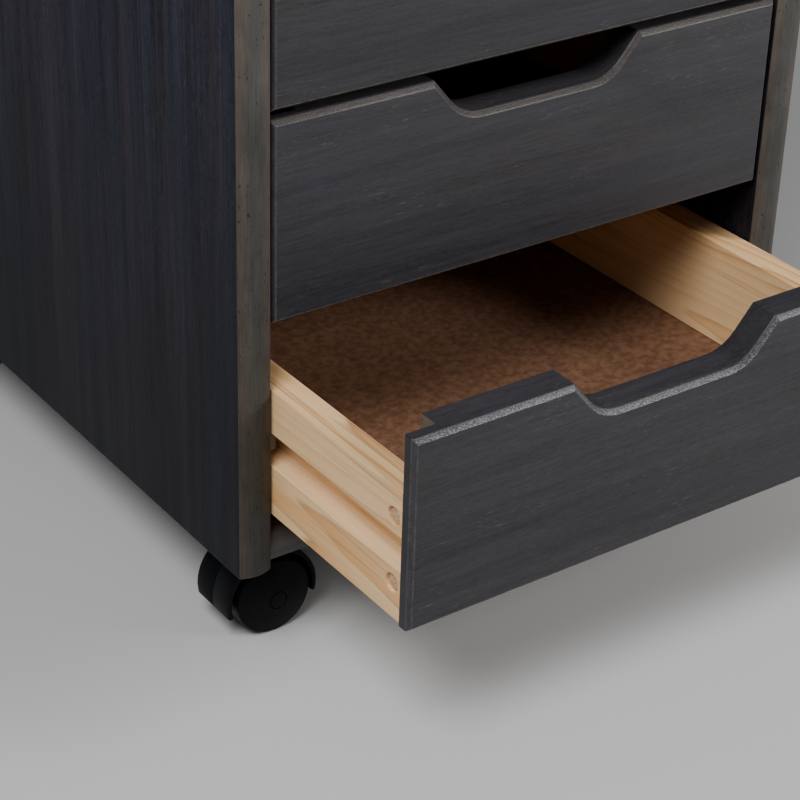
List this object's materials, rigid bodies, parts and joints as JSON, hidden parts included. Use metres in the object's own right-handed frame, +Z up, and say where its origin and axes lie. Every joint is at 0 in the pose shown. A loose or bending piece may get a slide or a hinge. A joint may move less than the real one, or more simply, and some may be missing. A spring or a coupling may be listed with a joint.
{
  "type": "rolling drawer cart",
  "caption": "Narrow wooden rolling cart with shallow boxed drawers that slide on grooved sides between stained side panels, standing on hooded swivel casters.",
  "frame": {"origin": "on the floor, below the middle of the cart's width and of its whole length with the bottom drawer pulled out as stored", "axes": "+Z up; -Y is the way the drawers open; +X is to the right for someone facing the drawers"},
  "size_m": [0.338, 0.5006, 0.624],
  "materials": {
    "panel": "dark blue-grey stained pine under satin lacquer",
    "front": "dark grey stained pine under satin lacquer, with the grain along the drawer",
    "pine": "plain sanded pine",
    "hardboard": "dark brown hardboard",
    "strip": "grey stained strip",
    "plastic": "satin black moulded plastic",
    "steel": "zinc-plated steel"
  },
  "bodies": {
    "carcass": {"side_panel_left": "panel", "side_panel_right": "panel", "top_board": "panel", "bottom_board": "panel", "back_panel": "panel", "runner_left_1": "strip", "runner_right_1": "strip", "runner_left_2": "strip", "runner_right_2": "strip", "runner_left_3": "strip", "runner_right_3": "strip", "runner_left_4": "strip", "runner_right_4": "strip", "runner_left_5": "strip", "runner_right_5": "strip", "caster_front_left_plate": "steel", "caster_front_right_plate": "steel", "caster_rear_left_plate": "steel", "caster_rear_right_plate": "steel"},
    "drawer_1": {"drawer_1_front": "front", "drawer_1_side_left": "pine", "drawer_1_side_right": "pine", "drawer_1_back": "pine", "drawer_1_bottom": "hardboard"},
    "drawer_2": {"drawer_2_front": "front", "drawer_2_side_left": "pine", "drawer_2_side_right": "pine", "drawer_2_back": "pine", "drawer_2_bottom": "hardboard"},
    "drawer_3": {"drawer_3_front": "front", "drawer_3_side_left": "pine", "drawer_3_side_right": "pine", "drawer_3_back": "pine", "drawer_3_bottom": "hardboard"},
    "drawer_4": {"drawer_4_front": "front", "drawer_4_side_left": "pine", "drawer_4_side_right": "pine", "drawer_4_back": "pine", "drawer_4_bottom": "hardboard"},
    "drawer_5": {"drawer_5_front": "front", "drawer_5_side_left": "pine", "drawer_5_side_right": "pine", "drawer_5_back": "pine", "drawer_5_bottom": "hardboard"},
    "caster_front_left_fork": {"caster_front_left_hood": "plastic", "caster_front_left_axle": "steel"},
    "caster_front_left_roller_a": {"caster_front_left_wheel_a": "plastic"},
    "caster_front_left_roller_b": {"caster_front_left_wheel_b": "plastic"},
    "caster_front_right_fork": {"caster_front_right_hood": "plastic", "caster_front_right_axle": "steel"},
    "caster_front_right_roller_a": {"caster_front_right_wheel_a": "plastic"},
    "caster_front_right_roller_b": {"caster_front_right_wheel_b": "plastic"},
    "caster_rear_left_fork": {"caster_rear_left_hood": "plastic", "caster_rear_left_axle": "steel"},
    "caster_rear_left_roller_a": {"caster_rear_left_wheel_a": "plastic"},
    "caster_rear_left_roller_b": {"caster_rear_left_wheel_b": "plastic"},
    "caster_rear_right_fork": {"caster_rear_right_hood": "plastic", "caster_rear_right_axle": "steel"},
    "caster_rear_right_roller_a": {"caster_rear_right_wheel_a": "plastic"},
    "caster_rear_right_roller_b": {"caster_rear_right_wheel_b": "plastic"}
  },
  "joints": [
    {"name": "drawer_1_slide", "type": "slide", "parent": "carcass", "child": "drawer_1", "axis": [0, -1, 0], "range_m": [-0.113, 0.157]},
    {"name": "drawer_2_slide", "type": "slide", "parent": "carcass", "child": "drawer_2", "axis": [0, -1, 0], "range_m": [0, 0.27]},
    {"name": "drawer_3_slide", "type": "slide", "parent": "carcass", "child": "drawer_3", "axis": [0, -1, 0], "range_m": [0, 0.27]},
    {"name": "drawer_4_slide", "type": "slide", "parent": "carcass", "child": "drawer_4", "axis": [0, -1, 0], "range_m": [0, 0.27]},
    {"name": "drawer_5_slide", "type": "slide", "parent": "carcass", "child": "drawer_5", "axis": [0, -1, 0], "range_m": [0, 0.27]},
    {"name": "caster_front_left_swivel", "type": "hinge", "parent": "carcass", "child": "caster_front_left_fork", "pos_m": [-0.1246, -0.1043, 0.045], "axis": [0, 0, 1], "continuous": true},
    {"name": "caster_front_left_roll_a", "type": "hinge", "parent": "caster_front_left_fork", "child": "caster_front_left_roller_a", "pos_m": [-0.1386, -0.1043, 0.021], "axis": [0, 1, 0], "continuous": true},
    {"name": "caster_front_left_roll_b", "type": "hinge", "parent": "caster_front_left_fork", "child": "caster_front_left_roller_b", "pos_m": [-0.1386, -0.1043, 0.021], "axis": [0, 1, 0], "continuous": true},
    {"name": "caster_front_right_swivel", "type": "hinge", "parent": "carcass", "child": "caster_front_right_fork", "pos_m": [0.1246, -0.1043, 0.045], "axis": [0, 0, 1], "continuous": true},
    {"name": "caster_front_right_roll_a", "type": "hinge", "parent": "caster_front_right_fork", "child": "caster_front_right_roller_a", "pos_m": [0.1106, -0.1043, 0.021], "axis": [0, 1, 0], "continuous": true},
    {"name": "caster_front_right_roll_b", "type": "hinge", "parent": "caster_front_right_fork", "child": "caster_front_right_roller_b", "pos_m": [0.1106, -0.1043, 0.021], "axis": [0, 1, 0], "continuous": true},
    {"name": "caster_rear_left_swivel", "type": "hinge", "parent": "carcass", "child": "caster_rear_left_fork", "pos_m": [-0.1246, 0.2173, 0.045], "axis": [0, 0, 1], "continuous": true},
    {"name": "caster_rear_left_roll_a", "type": "hinge", "parent": "caster_rear_left_fork", "child": "caster_rear_left_roller_a", "pos_m": [-0.1386, 0.2173, 0.021], "axis": [0, 1, 0], "continuous": true},
    {"name": "caster_rear_left_roll_b", "type": "hinge", "parent": "caster_rear_left_fork", "child": "caster_rear_left_roller_b", "pos_m": [-0.1386, 0.2173, 0.021], "axis": [0, 1, 0], "continuous": true},
    {"name": "caster_rear_right_swivel", "type": "hinge", "parent": "carcass", "child": "caster_rear_right_fork", "pos_m": [0.1246, 0.2173, 0.045], "axis": [0, 0, 1], "continuous": true},
    {"name": "caster_rear_right_roll_a", "type": "hinge", "parent": "caster_rear_right_fork", "child": "caster_rear_right_roller_a", "pos_m": [0.1106, 0.2173, 0.021], "axis": [0, 1, 0], "continuous": true},
    {"name": "caster_rear_right_roll_b", "type": "hinge", "parent": "caster_rear_right_fork", "child": "caster_rear_right_roller_b", "pos_m": [0.1106, 0.2173, 0.021], "axis": [0, 1, 0], "continuous": true}
  ]
}
